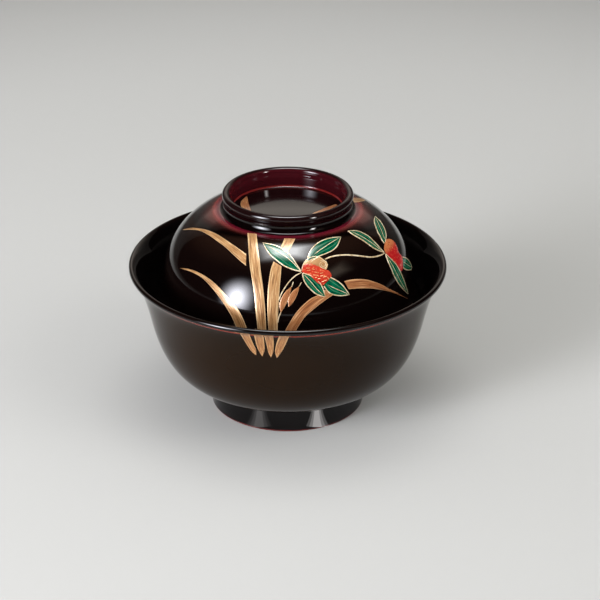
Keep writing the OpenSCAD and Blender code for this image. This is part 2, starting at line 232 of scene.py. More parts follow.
# Meshes
def piece(name, body, slot, material, points, faces, strokes=None, replaced=()):
    """A smooth mesh that rides on a body. strokes gives [along, across, half width] by point."""
    mesh = bpy.data.meshes.new(name)
    mesh.from_pydata(np.asarray(points).tolist(), [], faces)
    if strokes is not None:
        mesh.attributes.new("stroke", "FLOAT_VECTOR", "POINT")
        mesh.attributes["stroke"].data.foreach_set("vector", np.asarray(strokes, np.float32).ravel())
    work = bmesh.new()
    work.from_mesh(mesh)
    bmesh.ops.remove_doubles(work, verts=work.verts, dist=WELD)
    bmesh.ops.recalc_face_normals(work, faces=work.faces)
    work.to_mesh(mesh)
    work.free()
    mesh.shade_smooth()
    mesh.set_sharp_from_angle(angle=CREASE)
    mesh.materials.append(material)
    made = bpy.data.objects.new(name, mesh)
    bpy.context.scene.collection.objects.link(made)
    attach(made, body)
    if replaced:
        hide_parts(*replaced)
    return made


def turned(name, body, slot, material, line, first, last, replaced):
    """A coat of lacquer: the band between the outline and its inset, turned round the axis."""
    band = slice(first, last + 1)
    section = np.concatenate([line[band], inset(line, COAT_T)[band][::-1]])
    radii, heights = section.T
    turn = np.linspace(0, 2 * math.pi, SEGMENTS, endpoint=False)
    points = np.stack([np.outer(radii, np.sin(turn)), -np.outer(radii, np.cos(turn)),
                       np.outer(heights, np.ones(SEGMENTS))], 2).reshape(-1, 3)
    centred = radii < ON_AXIS
    faces = []
    for i in range(len(section)):
        k = (i + 1) % len(section)
        if centred[i] and centred[k]:
            continue
        for j in range(SEGMENTS):
            n = (j + 1) % SEGMENTS
            corners = [i * SEGMENTS + j, k * SEGMENTS + j, k * SEGMENTS + n, i * SEGMENTS + n]
            if centred[i]:
                corners = [i * SEGMENTS, corners[1], corners[2]]
            elif centred[k]:
                corners = [corners[0], k * SEGMENTS, corners[3]]
            faces.append(corners)
    used = sorted({v for face in faces for v in face})
    order = {v: n for n, v in enumerate(used)}
    return piece(name, body, slot, material, points[used],
                 [[order[v] for v in face] for face in faces], None, replaced)


# Places on the turned surfaces
FORWARD = np.array([0, math.cos(PITCH), -math.sin(PITCH)])
LEVEL = np.array([1, 0, 0])
UPWARD = np.array([0, math.sin(PITCH), math.cos(PITCH)])
RIGHT = math.cos(ROLL) * LEVEL + math.sin(ROLL) * UPWARD
UP = -math.sin(ROLL) * LEVEL + math.cos(ROLL) * UPWARD
SIGHT_STEPS = np.linspace(0.72, 1.02, 601)
HALVINGS = 24


class Surface:
    """A turned surface whose radius follows from its height."""

    def __init__(self, line):
        order = np.argsort(line[:, 1])
        self.heights = line[order, 1]
        self.radii = line[order, 0]

    def radius(self, z):
        return np.interp(z, self.heights, self.radii)

    def meet(self, pixels):
        """Where the lines of sight through the picture's pixels meet the surface, and its normals."""
        shape = np.shape(pixels)[:-1]
        across, down = (np.reshape(pixels, (-1, 2)) - PICTURE / 2).T / FOCAL_PX
        sight = FORWARD + np.outer(across, RIGHT) - np.outer(down, UP)
        sight /= np.linalg.norm(sight, axis=1)[:, None]
        along = EYE + SIGHT_STEPS[:, None, None] * sight

        def depth(p):
            z = p[..., 2]
            inside = (z >= self.heights[0]) & (z <= self.heights[-1])
            return np.where(inside, self.radius(z) - np.hypot(p[..., 0], p[..., 1]), -1)

        deep = depth(along)
        hit = deep > 0
        first = np.where(hit.any(0), hit.argmax(0), deep.argmax(0))
        high = SIGHT_STEPS[first]
        low = high - (SIGHT_STEPS[1] - SIGHT_STEPS[0])
        for _ in range(HALVINGS):
            mid = (low + high) / 2
            within = depth(EYE + mid[:, None] * sight) > 0
            high = np.where(within, mid, high)
            low = np.where(within, low, mid)
        return self.lay(EYE + high[:, None] * sight, shape)

    def lay(self, points, shape):
        """The points drawn onto the surface, with their normals."""
        turn = np.arctan2(points[:, 0], -points[:, 1])
        z = np.clip(points[:, 2], self.heights[0], self.heights[-1])
        reach = 0.05 * MM
        lean = (self.radius(z + reach) - self.radius(z - reach)) / (2 * reach)
        normal = np.stack([np.sin(turn), -np.cos(turn), -lean], 1)
        normal /= np.linalg.norm(normal, axis=1)[:, None]
        r = self.radius(z)
        laid = np.stack([r * np.sin(turn), -r * np.cos(turn), z], 1)
        return laid.reshape(*shape, 3), normal.reshape(*shape, 3)


dome = Surface(dome_line)
wall = Surface(joined(arc(lip_mid, LIP_R, -44, LIP_FLARE - 90, 6), bowl_outside))


def well_place(shares):
    """Points and normals on the ring's well at [x, y] shares of the bore's radius."""
    flat = np.asarray(shares, float) * bore_r
    z = np.interp(np.linalg.norm(flat, axis=-1), well_line[:, 0], well_line[:, 1])
    points = np.concatenate([flat, z[..., None]], -1)
    return points, np.broadcast_to([0.0, 0.0, 1.0], points.shape)


def smooth(guides, count):
    """count + 1 points at even steps along a smooth line through the guides."""
    g = np.asarray(guides, float)
    if len(g) == 2:
        return g[0] + np.linspace(0, 1, count + 1)[:, None] * (g[1] - g[0])
    ends = np.concatenate([[2 * g[0] - g[1]], g, [2 * g[-1] - g[-2]]])
    u = np.linspace(0, 1, 12, endpoint=False)[:, None]
    runs = []
    for a, b, c, d in zip(ends, ends[1:], ends[2:], ends[3:]):
        runs.append(b + 0.5 * u * (c - a + u * (2 * a - 5 * b + 4 * c - d + u * (3 * (b - c) + d - a))))
    fine = np.concatenate(runs + [g[-1:]])
    run = np.concatenate([[0], np.cumsum(np.linalg.norm(np.diff(fine, axis=0), axis=1))])
    even = np.linspace(0, run[-1], count + 1)
    return np.stack([np.interp(even, run, fine[:, k]) for k in range(fine.shape[1])], 1)


# How deep the painting reaches into the lacquer
BED = 0.06 * MM


def slab(points, normals, heights, strokes):
    """A closed solid over a grid of points on a surface, as (points, faces, strokes)."""
    rows, columns = heights.shape
    top = points + normals * heights[..., None]
    low = points - normals * BED
    count = rows * columns
    faces = []
    for i in range(rows - 1):
        for j in range(columns - 1):
            a = i * columns + j
            corners = [a, a + 1, a + columns + 1, a + columns]
            faces.append(corners)
            faces.append([count + v for v in reversed(corners)])
    edge = ([j for j in range(columns)] + [i * columns + columns - 1 for i in range(1, rows)]
            + [(rows - 1) * columns + j for j in range(columns - 2, -1, -1)]
            + [i * columns for i in range(rows - 2, 0, -1)])
    for a, b in zip(edge, edge[1:] + edge[:1]):
        faces.append([b, a, count + a, count + b])
    return (np.concatenate([top.reshape(-1, 3), low.reshape(-1, 3)]), faces,
            np.concatenate([strokes.reshape(-1, 3)] * 2))


def crown(across, height, edge_share=0.35):
    """Heights of a stroke's section: full in the middle, rounded down at its edges."""
    return height * (edge_share + (1 - edge_share) * (1 - np.abs(across) ** 5))


def length_along(points):
    """How far along their line each point lies."""
    run = np.linalg.norm(np.diff(points, axis=0), axis=1)
    return np.concatenate([[0], np.cumsum(run)])


def filled(left, right, surface, height, rows=48, columns=10):
    """A stroke that fills the place between two edges, each a list of pixels."""
    a, b = smooth(left, rows), smooth(right, rows)
    across = np.sin(np.linspace(-1, 1, columns + 1) * math.pi / 2)
    share = (across[None, :, None] + 1) / 2
    points, normals = surface.meet(a[:, None] * (1 - share) + b[:, None] * share)
    half = np.linalg.norm(points[:, -1] - points[:, 0], axis=1) / 2
    run = length_along(points[:, columns // 2])
    strokes = np.stack([np.repeat(run[:, None], columns + 1, 1) / MM,
                        np.repeat(across[None], rows + 1, 0),
                        np.repeat(half[:, None], columns + 1, 1) / MM], 2)
    return slab(points, normals, np.repeat(crown(across, height)[None], rows + 1, 0), strokes)


def line_on(points, normals, widths, height, columns=4):
    """A thin line along points that lie on a surface."""
    along = np.gradient(points, axis=0)
    along /= np.linalg.norm(along, axis=1)[:, None]
    side = np.cross(along, normals)
    side /= np.linalg.norm(side, axis=1)[:, None]
    across = np.sin(np.linspace(-1, 1, columns + 1) * math.pi / 2)
    half = np.asarray(widths)[:, None, None] / 2
    grid = points[:, None] + side[:, None] * across[None, :, None] * half
    run = length_along(points)
    strokes = np.stack([np.repeat(run[:, None], columns + 1, 1) / MM,
                        np.repeat(across[None], len(run), 0),
                        np.repeat(half[:, :, 0], columns + 1, 1) / MM], 2)
    heights = np.repeat(crown(across, height)[None], len(run), 0)
    return slab(grid, np.repeat(normals[:, None], columns + 1, 1), heights, strokes)


def traced(pixels, surface, width, height, ends=(1, 1), rows=32, growth=6):
    """A thin line through pixels, whose width at its two ends is a share of its full width."""
    points, normals = surface.meet(smooth(pixels, rows))
    u = np.linspace(0, 1, rows + 1)
    full = np.minimum(1, np.minimum(ends[0] + u * growth, ends[1] + (1 - u) * growth))
    return line_on(points, normals, width * full, height)


def patch(outline, surface, height, lumps=None, sectors=72, rings=12):
    """A blob inside an outline of pixels, full in its middle. lumps adds heights to it."""
    closed = list(outline) + [outline[0]]
    rim = smooth(closed, sectors)[:-1]
    middle = rim.mean(0)
    out = np.sin(np.linspace(0, 1, rings + 1)[1:] * math.pi / 2)
    grid = middle + out[:, None, None] * (rim - middle)
    pixels = np.concatenate([[middle], grid.reshape(-1, 2)])
    points, normals = surface.meet(pixels)
    reach = np.concatenate([[0], np.repeat(out, sectors)])
    turn = np.concatenate([[0], np.tile(np.linspace(0, 1, sectors, endpoint=False), rings)])
    heights = crown(reach, height)
    if lumps:
        heights = heights + lumps(pixels) * (1 - reach ** 6)
    top = points + normals * heights[:, None]
    low = points - normals * BED
    count = len(points)
    faces = []
    for j in range(sectors):
        n = (j + 1) % sectors
        faces.append([0, 1 + j, 1 + n])
        faces.append([count, count + 1 + n, count + 1 + j])
        for i in range(rings - 1):
            a = 1 + i * sectors
            corners = [a + j, a + sectors + j, a + sectors + n, a + n]
            faces.append(corners)
            faces.append([count + v for v in reversed(corners)])
        last = 1 + (rings - 1) * sectors
        faces.append([last + j, count + last + j, count + last + n, last + n])
    strokes = np.stack([turn, reach, np.zeros(count)], 1)
    return np.concatenate([top, low]), faces, np.concatenate([strokes, strokes])


def together(solids):
    """Several solids as one mesh."""
    points, faces, strokes = [], [], []
    count = 0
    for p, f, s in solids:
        points.append(p)
        faces.extend([[v + count for v in face] for face in f])
        strokes.append(s)
        count += len(p)
    return np.concatenate(points), faces, np.concatenate(strokes)


# Materials
class Finish:
    """A material whose nodes feed one principled shader."""

    def __init__(self, name, **fixed):
        self.material = bpy.data.materials.new(name)
        self.material.use_nodes = True
        self.tree = self.material.node_tree
        self.shader = self.tree.nodes["Principled BSDF"]
        for key, value in fixed.items():
            words = key.replace("_", " ").title().replace("Ior", "IOR")
            self.shader.inputs[words].default_value = value

    def node(self, kind, *inputs, **settings):
        made = self.tree.nodes.new("ShaderNode" + kind)
        for key, value in settings.items():
            setattr(made, key, value)
        for socket, value in zip(made.inputs, inputs):
            self.feed(socket, value)
        return made

    def feed(self, socket, value):
        if isinstance(value, bpy.types.NodeSocket):
            self.tree.links.new(value, socket)
        elif value is not None:
            socket.default_value = value

    def places(self):
        return self.node("TexCoord").outputs["Object"]

    def scaled(self, vector, x, y, z):
        return self.node("VectorMath", vector, (x, y, z), operation="MULTIPLY").outputs[0]

    def length(self, vector):
        return self.node("VectorMath", vector, operation="LENGTH").outputs["Value"]

    def radius(self):
        return self.length(self.scaled(self.places(), 1, 1, 0))

    def height(self):
        return self.node("SeparateXYZ", self.places()).outputs["Z"]

    def noise(self, vector, scale, detail=2, rough=0.5):
        made = self.node("TexNoise")
        self.feed(made.inputs["Vector"], vector)
        made.inputs["Scale"].default_value = scale
        made.inputs["Detail"].default_value = detail
        made.inputs["Roughness"].default_value = rough
        return made.outputs["Fac"]

    def between(self, value, low, high):
        """How far a value is on its way from low to high, eased at both ends."""
        return self.node("MapRange", value, low, high, interpolation_type="SMOOTHSTEP").outputs["Result"]

    def math(self, operation, a, b=None):
        return self.node("Math", a, b, operation=operation).outputs[0]

    def mix(self, share, a, b):
        made = self.node("Mix", data_type="RGBA")
        for name, value in zip(("Factor", "A", "B"), (share, a, b)):
            socket = next(s for s in made.inputs if s.name == name and s.enabled)
            self.feed(socket, value)
        return next(s for s in made.outputs if s.enabled)

    def colour(self, value):
        self.tone = value
        self.feed(self.shader.inputs["Base Color"], value)

    def tint(self, share, colour):
        """Turn the colour that was set into another one, by a share."""
        self.colour(self.mix(share, self.tone, colour))

    def bump(self, height, depth, strength):
        made = self.node("Bump")
        made.inputs["Strength"].default_value = strength
        made.inputs["Distance"].default_value = depth
        self.feed(made.inputs["Height"], height)
        self.feed(self.shader.inputs["Normal"], made.outputs["Normal"])

    def stroke(self):
        """The sockets of a stroke's [along, across, half width], in millimetres and shares."""
        read = self.node("Attribute", attribute_name="stroke").outputs["Vector"]
        return self.node("SeparateXYZ", read).outputs

    def streaks(self, across, squeeze, along, stretch, half, scale):
        """Noise drawn out along a stroke."""
        thread = self.node("CombineXYZ", self.math("MULTIPLY", across, squeeze),
                           self.math("MULTIPLY", along, stretch), half)
        return self.noise(thread.outputs[0], scale, 4, 0.6)


def rgb(red, green, blue):
    """A colour given in the 0 to 255 values of a picture."""
    linear = []
    for value in (red, green, blue):
        v = value / 255
        linear.append(v / 12.92 if v <= 0.04045 else ((v + 0.055) / 1.055) ** 2.4)
    return (*linear, 1)


# A body colour whose only gloss is that of a clear coat
COATED = {"roughness": 0.5, "specular_ior_level": 0, "coat_weight": 1, "coat_roughness": 0.03,
          "coat_ior": 1.5}


def lacquer(name, dark, light, **fixed):
    """Polished lacquer: a deep, slightly uneven body colour under a clear hard gloss."""
    made = Finish(name, **{**COATED, **fixed})
    drift = made.noise(made.places(), 35, 3)
    made.colour(made.mix(drift, dark, light))
    made.bump(made.noise(made.places(), 55, 2), 0.02 * MM, 0.25)
    return made


def red_line(made, value, start, full, colour, fray=0.5 * MM):
    """Red undercoat that shows where the lacquer thins out at an edge."""
    frayed = made.math("SUBTRACT", made.noise(made.places(), 400, 2), 0.5)
    spread = made.math("ADD", value, made.math("MULTIPLY", frayed, fray))
    made.tint(made.between(spread, start, full), colour)


# Heights or radii at which a change of colour in the lacquer starts and is full
LIP_RED_Z = (lip_out[1] - 1.5 * MM, lip_out[1] - 0.7 * MM)
LIP_BROWN_Z = (BOWL_H - 1.4 * MM, BOWL_H - 0.5 * MM)
LIP_BROWN_R = (62 * MM, 63 * MM)
FOOT_RED_Z = (1.0 * MM, 0.2 * MM)
DOME_TOP_Z = (75 * MM, 84 * MM)
# Pale red round the ring: the red coat, with a painted reflection over it that reaches further at the sides
RED_AND_SHEEN_R = (37.5 * MM, 29 * MM)
SHEEN_METAL_R = (39 * MM, 36.5 * MM)
SHEEN_OVAL = 1.25
WINE_R = (31.2 * MM, 28.2 * MM)
RING_OUTER_R = (23.6 * MM, 24.2 * MM)
NECK_Z = (RING_TOP - 2.8 * MM, RING_TOP - 3.6 * MM)
WELL_RED_R = (bore_r - 0.5 * MM, bore_r - 0.3 * MM)


def bowl_lacquer():
    """Dark brown, with a red line under the lip."""
    made = lacquer("brown_lacquer", rgb(19, 10, 3), rgb(28, 16, 6), coat_ior=1.2)
    red_line(made, made.height(), *LIP_RED_Z, rgb(128, 46, 34))
    return made.material


def inside_lacquer():
    """Black, a little browner on the lip."""
    made = lacquer("black_lacquer", rgb(3, 2, 2), rgb(6, 4, 4), coat_ior=1.42)
    lip = made.math("MULTIPLY", made.between(made.height(), *LIP_BROWN_Z),
                    made.between(made.radius(), *LIP_BROWN_R))
    made.tint(lip, rgb(10, 5, 4))
    return made.material


def foot_lacquer():
    """Black, with a red line at the bottom."""
    made = lacquer("foot_lacquer", rgb(2, 1, 1), rgb(5, 2, 2), coat_ior=1.34)
    red_line(made, made.height(), *FOOT_RED_Z, rgb(98, 36, 34))
    return made.material


def dome_lacquer():
    """Black-brown lacquer that turns a clear deep red towards the ring, with a painted pale-red reflection
    over the red at the ring's sides.
    """
    made = lacquer("lid_lacquer", rgb(5, 2, 2), rgb(9, 4, 3), roughness=0.24, coat_roughness=0.09)
    made.tint(made.between(made.height(), *DOME_TOP_Z), rgb(21, 11, 7))
    # Painted reflection: pale red round the ring over the real red, stretched across the view so it shows
    # most at the ring's sides
    oval = made.length(made.scaled(made.places(), 1, SHEEN_OVAL, 0))
    made.tint(made.between(oval, *RED_AND_SHEEN_R), rgb(168, 70, 62))
    wine = made.between(made.radius(), *WINE_R)
    made.tint(wine, rgb(74, 12, 24))
    metal = made.math("MULTIPLY", made.between(oval, *SHEEN_METAL_R), made.math("SUBTRACT", 1.0, wine))
    made.feed(made.shader.inputs["Metallic"], metal)
    return made.material


def ring_lacquer():
    """Wine red in the bore, nearly black on the lip and the neck."""
    made = lacquer("wine_lacquer", rgb(38, 6, 10), rgb(50, 10, 15), coat_ior=1.41)
    outer = made.between(made.radius(), *RING_OUTER_R)
    made.tint(outer, rgb(17, 6, 6))
    neck = made.between(made.height(), *NECK_Z)
    made.tint(made.math("MULTIPLY", outer, neck), rgb(5, 2, 2))
    return made.material


def well_lacquer():
    """Nearly black, with a red line round its corner."""
    made = lacquer("well_lacquer", rgb(6, 3, 3), rgb(12, 6, 6), coat_roughness=0.12)
    red_line(made, made.radius(), *WELL_RED_R, rgb(92, 22, 20))
    return made.material


def blade_gold(name, deep, middle, pale):
    """Gold powder brushed out along the blade, paler at its edges."""
    made = Finish(name, metallic=0.25, roughness=0.34, coat_weight=1.0, coat_roughness=0.04, coat_ior=1.35)
    along, across, half = made.stroke()
    width = made.math("MULTIPLY", across, half)
    streak = made.streaks(width, 1.5, along, 0.06, half, 1.6)
    made.colour(made.mix(made.between(streak, 0.4, 0.47), deep, middle))
    made.tint(made.between(streak, 0.55, 0.64), pale)
    rim = made.between(made.math("ABSOLUTE", across), 0.8, 0.94)
    made.tint(made.math("MULTIPLY", rim, 0.85), pale)
    made.tint(made.math("MULTIPLY", made.noise(made.places(), 3500), 0.25), deep)
    made.bump(streak, 0.05 * MM, 0.35)
    return made.material


def line_gold(name, deep, pale):
    """Fine gold powder of an uneven tone."""
    made = Finish(name, metallic=0.3, roughness=0.3, coat_weight=1.0, coat_roughness=0.05, coat_ior=1.5)
    grain = made.noise(made.places(), 900, 3)
    made.colour(made.mix(made.between(grain, 0.35, 0.65), deep, pale))
    made.bump(grain, 0.03 * MM, 0.3)
    return made.material


def petal_green():
    """Green pigment with fine pale veins along the petal."""
    made = Finish("petal_green", **{**COATED, "coat_roughness": 0.04})
    along, across, half = made.stroke()
    streak = made.streaks(across, 3, along, 0.12, half, 2.4)
    made.colour(made.mix(made.between(streak, 0.35, 0.62), rgb(0, 38, 24), rgb(0, 80, 54)))
    off_vein = made.math("SUBTRACT", made.math("ABSOLUTE", across), 0.46)
    vein = made.between(made.math("ABSOLUTE", off_vein), 0.1, 0.03)
    made.tint(made.math("MULTIPLY", vein, 0.35), rgb(84, 140, 104))
    made.bump(streak, 0.05 * MM, 0.4)
    return made.material


def lip_red(name, low, top, low_z, top_z):
    """Vermilion, shading to another tone towards the top of the flower."""
    made = Finish(name, **{**COATED, "coat_roughness": 0.05, "coat_ior": 1.4})
    spots = made.noise(made.scaled(made.places(), 1, 1, 1.8), 900, 3, 0.6)
    made.colour(made.mix(made.between(made.height(), low_z, top_z), low, top))
    made.tint(made.between(spots, 0.4, 0.3), tuple(0.45 * v for v in low[:3]) + (1,))
    made.tint(made.between(spots, 0.58, 0.68), rgb(190, 108, 70))
    made.bump(spots, 0.1 * MM, 0.7)
    return made.material


def turned_wood():
    """Pale turned wood with rings round the axis and long pores."""
    made = Finish("turned_wood", roughness=0.55, coat_weight=0.15, coat_roughness=0.3)
    rings = made.node("TexWave", wave_type="RINGS", rings_direction="Y")
    made.feed(rings.inputs["Vector"], made.scaled(made.places(), 1, 0.15, 1))
    rings.inputs["Scale"].default_value = 90
    rings.inputs["Distortion"].default_value = 3
    pores = made.noise(made.scaled(made.places(), 1, 0.1, 1), 1500, 3)
    made.colour(made.mix(rings.outputs["Fac"], rgb(168, 118, 72), rgb(205, 160, 108)))
    made.tint(made.between(pores, 0.58, 0.7), rgb(120, 78, 44))
    made.bump(pores, 0.05 * MM, 0.4)
    return made.material


def paper():
    """Pale paper with a painted falloff of light: it darkens away from the bowl."""
    made = Finish("backdrop_paper", roughness=1.0, specular_ior_level=0)
    cloud = made.noise(made.places(), 3, 2)
    made.colour(made.mix(cloud, (0.303, 0.302, 0.288, 1), (0.295, 0.294, 0.281, 1)))
    # Painted falloff of light: darker away from the bowl, as if only the paper near it were lit
    away = made.node("VectorMath", made.places(), (0, 0.1, 0), operation="DISTANCE").outputs["Value"]
    made.tint(made.between(away, 0.26, 0.9), (0.06, 0.055, 0.05, 1))
    return made.material


# Turned pieces
wood = turned_wood()
for core in ("bowl_core", "lid_core"):
    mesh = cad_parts[core].data
    mesh.materials.clear()
    mesh.materials.append(wood)

lip_i = len(bowl_inside) - 1
foot_i = lip_i + len(bowl_outside) - 1
turned("bowl_inner_lacquer", "bowl", "black_lacquer", inside_lacquer(), bowl_line, 0, lip_i,
       ["bowl_inner_coat"])
turned("bowl_outer_lacquer", "bowl", "brown_lacquer", bowl_lacquer(), bowl_line, lip_i, foot_i,
       ["bowl_outer_coat"])
foot = turned("foot_lacquer", "bowl", "foot_lacquer", foot_lacquer(), bowl_line, foot_i, len(bowl_line) - 1,
              ["foot_coat"])

well_i = len(well_line) - 1
ring_i = well_i + len(ring_line) - 1
edge_i = ring_i + len(lid_outside) - 1
turned("ring_well_lacquer", "lid", "lid_lacquer", well_lacquer(), lid_line, 0, well_i,
       ["ring_well_coat"])
ring = turned("ring_lacquer", "lid", "wine_lacquer", ring_lacquer(), lid_line, well_i, ring_i,
              ["ring_coat"])
turned("lid_outer_lacquer", "lid", "lid_lacquer", dome_lacquer(), lid_line, ring_i, edge_i,
       ["lid_outer_coat"])
turned("lid_inner_lacquer", "lid", "black_lacquer", inside_lacquer(), lid_line, edge_i,
       len(lid_line) - 1, ["lid_inner_coat"])

# Painting. Each edge or line is a list of the picture's pixels, laid onto the dome or the wall
GOLD_H = 0.12 * MM
PETAL_H = 0.17 * MM
LINE_H = 0.24 * MM
LINE_W = 0.42 * MM
RIB_W = 0.28 * MM
CAP_H = 0.2 * MM
LIP_H = 0.24 * MM
LUMP_PITCH = 4.2
LUMP_H = 0.14 * MM
GRAIN_W = 0.34 * MM
GRAIN_H = 0.5 * MM

tan = blade_gold("blade_gold", rgb(112, 74, 38), rgb(162, 120, 74), rgb(206, 174, 128))
copper = blade_gold("blade_copper", rgb(116, 66, 34), rgb(158, 102, 60), rgb(200, 154, 108))
umber = blade_gold("blade_root", rgb(116, 68, 32), rgb(168, 116, 64), rgb(202, 158, 106))
cream = line_gold("line_gold", rgb(190, 160, 118), rgb(228, 210, 176))
ochre = line_gold("grain_gold", rgb(190, 120, 70), rgb(214, 156, 104))
green = petal_green()

LID_BLADES = {
    "blade_upper_left": (tan,
        [(183.1, 229.6), (190.7, 228), (199.4, 228.4), (208.1, 230.4), (216.7, 234.2), (225.4, 239.6),
         (234.1, 245.5), (240.6, 250.1), (246.2, 254.2)],
        [(183.1, 229.9), (190.7, 229.6), (199.4, 230.6), (208.1, 234.7), (216.7, 240.7), (225.4, 247.2),
         (234.1, 255.3), (240.6, 261.3), (245.9, 265.6)]),
    "blade_lower_left": (tan,
        [(180.4, 268.2), (186.4, 268.5), (195.1, 271), (203.7, 275.3), (212.4, 281.3), (220, 288.4),
         (227.6, 296.5), (234.1, 304.1), (239.5, 311.7), (243.3, 319.3), (246, 326.3), (249, 336),
         (252, 346), (254.4, 353.5)],
        [(180.4, 268.4), (187.5, 270.5), (195.1, 273.7), (201.6, 277.5), (208.1, 283.5), (214.6, 291.1),
         (221.1, 299.7), (227.6, 309.5), (232.5, 318.2), (235.7, 325.8), (239.5, 336.5),
         (243, 346.5), (245.6, 353)]),
    "blade_tall": (tan,
        [(247.4, 233.2), (248.2, 243.4), (248.9, 254.2), (249.8, 265.1), (251.4, 275.9), (253.1, 286.7),
         (254.5, 297.6), (255.4, 308.4), (256.6, 319.3), (257.7, 329), (258.8, 339),
         (260.2, 348), (261.3, 354.3)],
        [(256.5, 234), (257.4, 243.4), (258.5, 252), (259.7, 260.7), (260.5, 269.4), (261.7, 278.1),
         (263.2, 288.9), (264.3, 299.7), (265.3, 312.8), (266.2, 329), (266.8, 339),
         (267.6, 348), (268.3, 354.7)]),
    "blade_middle_top": (tan,
        [(284.3, 238.6), (283.2, 241.5), (281, 246.2), (278.4, 251)],
        [(295.2, 238.9), (293.2, 243), (290.1, 248.7), (286.5, 256)]),
    "blade_middle": (tan,
        [(273.5, 261.4), (270.8, 269.5), (269.1, 279.4), (268, 289.2), (267.5, 299), (267.4, 309),
         (267.8, 318.5), (268.5, 328.7), (269.2, 339), (270, 348), (270.7, 354.8)],
        [(281.4, 266.3), (280.7, 275.9), (279.8, 286), (279.1, 295.7), (278.4, 305.4), (277.9, 316),
         (277.7, 328.7), (277.5, 339), (277.5, 348), (277.5, 355)]),
    "blade_middle_tip": (tan,
        [(350.9, 198.3), (355, 197.9), (359.5, 198.1), (363, 198.9), (365.3, 200)],
        [(350.9, 202.3), (355, 202.2), (359.5, 201.8), (363, 201), (365.3, 200.4)]),
    "blade_right": (copper,
        [(278.4, 355), (278.8, 347), (280.8, 338.5), (286.3, 328.4), (289.6, 323), (293.4, 316.5),
         (298.8, 309.4), (304.2, 304), (310.7, 298.6), (317.2, 295.4), (324.8, 290)],
        [(286.2, 355), (287.7, 347), (291.6, 338.8), (297.2, 328.4), (301, 322.5), (305.3, 316.5),
         (310.7, 311.6), (317.2, 306.2), (323.7, 301.3), (329.1, 297.5), (333.5, 294.8)]),
    "blade_right_tip": (copper,
        [(344.3, 281.2), (350.8, 279.6), (358.4, 279.1), (366, 279.6), (373.6, 281.6), (381.2, 284.5),
         (388.8, 288.6), (396.4, 292.4), (401.8, 295.5), (407.4, 298.6)],
        [(348.7, 289.2), (356.3, 288.5), (364.9, 288.3), (372.5, 288.5), (380.1, 289.6), (387.7, 291.1),
         (394.2, 293.2), (400.7, 295.8), (407.4, 298.8)]),
}
for name, (gold, left, right) in LID_BLADES.items():
    piece(name, "lid", "gold_blades", gold, *filled(left, right, dome, GOLD_H), ["lid_blades"])

ROOTS = {
    "root_lower_left": (
        [(236.4, 327.6), (237.6, 329.9), (241.8, 336.2), (246.9, 344.6), (251.5, 351.2), (255.8, 355)],
        [(247.8, 330.4), (248.9, 332.6), (250.5, 337.4), (253.1, 343.6), (255.9, 349.7), (256.2, 354.9)]),
    "root_tall": (
        [(252.7, 330.6), (253.3, 332.6), (255.1, 339.5), (257.1, 346.6), (259.7, 352.2), (262.1, 356.1)],
        [(261.4, 330.7), (262, 332.7), (263.5, 336.9), (264.3, 343.6), (264.4, 350.5), (262.5, 356.1)]),
    "root_middle": (
        [(263, 331), (263.5, 332.9), (265.3, 339.5), (267.1, 346.6), (268.6, 352.8), (270.8, 357.1)],
        [(272.3, 331.4), (273, 334.1), (273.5, 339.5), (273.7, 345.6), (273.1, 352.2), (271.2, 357.1)]),
    "root_right": (
        [(281, 331.6), (280.1, 333.8), (277.8, 339.5), (276, 345.6), (275.2, 352.5), (276.8, 357.7)],
        [(290.7, 332), (289.8, 334), (287.8, 339.5), (284.7, 346.1), (281.4, 352), (277.2, 357.7)]),
}
for name, (left, right) in ROOTS.items():
    piece(name, "bowl", "gold_blades", umber, *filled(left, right, wall, GOLD_H), ["bowl_blades"])

# On the well the guides are [x, y, width] as shares of the bore's radius
WELL_BLADES = {
    "well_blade_left": [(-0.6, -0.72, 0.17), (-0.67, -0.38, 0.18), (-0.73, 0, 0.17), (-0.76, 0.26, 0.145),
                        (-0.74, 0.52, 0.02)],
    "well_blade_right": [(0.1, -0.9, 0.15), (0.34, -0.5, 0.17), (0.652, -0.116, 0.17), (0.88, 0.15, 0.13)],
}
for name, guides in WELL_BLADES.items():
    run = smooth(guides, 40)
    points, normals = well_place(run[:, :2])
    piece(name, "lid", "gold_blades", copper,
          *line_on(points, normals, run[:, 2] * bore_r, GOLD_H, 10), ["ring_well_blades"])

